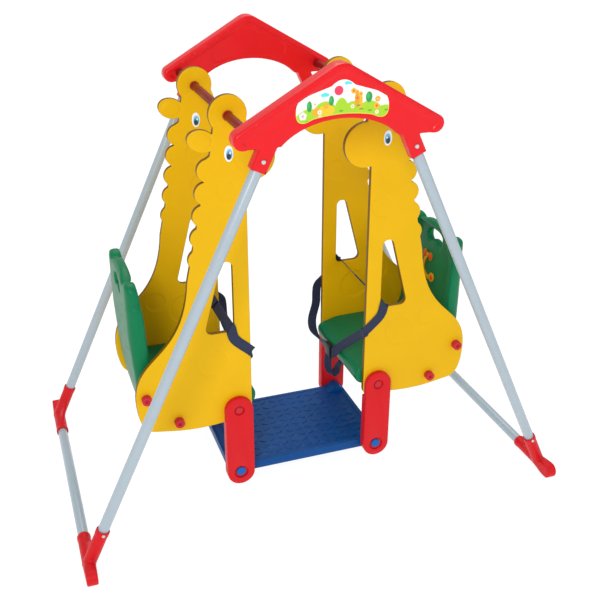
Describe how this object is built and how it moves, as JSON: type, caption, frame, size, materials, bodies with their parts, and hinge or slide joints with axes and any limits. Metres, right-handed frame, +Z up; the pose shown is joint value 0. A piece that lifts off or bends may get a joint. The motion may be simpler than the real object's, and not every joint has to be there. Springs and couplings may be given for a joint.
{
  "type": "glider swing",
  "caption": "Two-seat toddler glider: animal-shaped side panels swing on rods between two gables on splayed tube legs, joined by a pivoting footrest.",
  "frame": {"origin": "centre of the footprint, on the floor", "axes": "+X from the left seat to the right seat, +Y to the rear, +Z up"},
  "size_m": [1.358, 0.871, 1.229],
  "materials": {
    "gable_red": "glossy blow-moulded polyethylene",
    "print": "printed vinyl panel",
    "tube_paint": "light grey-blue paint on steel tube",
    "foot_red": "moulded plastic, satin",
    "zinc": "zinc-plated steel",
    "rod_steel": "drawn steel",
    "spacer_red": "dark red plastic tube",
    "giraffe_yellow": "satin blow-moulded polyethylene",
    "bush_red": "moulded nylon",
    "eye_print": "printed vinyl",
    "seat_green": "satin blow-moulded polyethylene",
    "motif": "moulded plastic",
    "cap_red": "soft plastic cap",
    "link_red": "moulded polyethylene",
    "webbing": "woven polyester webbing",
    "buckle_black": "moulded nylon",
    "deck_blue": "satin moulded polyethylene",
    "peg_blue": "moulded nylon",
    "washer_white": "moulded nylon"
  },
  "bodies": {
    "stand": {"gable_front": "gable_red", "gable_rear": "gable_red", "print_front": "print", "print_rear": "print", "leg_front_left": "tube_paint", "leg_front_right": "tube_paint", "leg_rear_left": "tube_paint", "leg_rear_right": "tube_paint", "floor_tube_left": "tube_paint", "floor_tube_right": "tube_paint", "foot_front_left": "foot_red", "foot_front_right": "foot_red", "foot_rear_left": "foot_red", "foot_rear_right": "foot_red", "gable_bolts": "zinc", "foot_screws": "zinc", "rod_left": "rod_steel", "rod_right": "rod_steel", "spacer_front_left": "spacer_red", "spacer_mid_left": "spacer_red", "spacer_rear_left": "spacer_red", "spacer_front_right": "spacer_red", "spacer_mid_right": "spacer_red", "spacer_rear_right": "spacer_red"},
    "swing_left": {"giraffe_front_left": "giraffe_yellow", "giraffe_rear_left": "giraffe_yellow", "bushes_left": "bush_red", "eyes_left": "eye_print", "seat_left": "seat_green", "motif_left": "motif", "seat_bolts_left": "cap_red", "link_bolts_left": "cap_red", "link_front_left": "link_red", "link_rear_left": "link_red", "lap_belt_left": "webbing", "crotch_belt_left": "webbing", "buckle_left": "buckle_black"},
    "swing_right": {"giraffe_front_right": "giraffe_yellow", "giraffe_rear_right": "giraffe_yellow", "bushes_right": "bush_red", "eyes_right": "eye_print", "seat_right": "seat_green", "motif_right": "motif", "seat_bolts_right": "cap_red", "link_bolts_right": "cap_red", "link_front_right": "link_red", "link_rear_right": "link_red", "lap_belt_right": "webbing", "crotch_belt_right": "webbing", "buckle_right": "buckle_black"},
    "footrest": {"footrest": "deck_blue", "footrest_pegs": "peg_blue", "footrest_washers": "washer_white"}
  },
  "joints": [
    {"name": "glide_left", "type": "hinge", "parent": "stand", "child": "swing_left", "pos_m": [-0.207, 0, 1.083], "axis": [0, 1, 0], "range_deg": [-20, 20]},
    {"name": "glide_right", "type": "hinge", "parent": "stand", "child": "swing_right", "pos_m": [0.207, 0, 1.083], "axis": [0, 1, 0], "range_deg": [-20, 20]},
    {"name": "footrest_pivot", "type": "hinge", "parent": "swing_left", "child": "footrest", "pos_m": [-0.207, 0, 0.07], "axis": [0, 1, 0], "range_deg": [-20, 20]}
  ],
  "couplings": [
    {"joint": "glide_right", "follows": "glide_left", "ratio": 1},
    {"joint": "footrest_pivot", "follows": "glide_left", "ratio": -1}
  ]
}
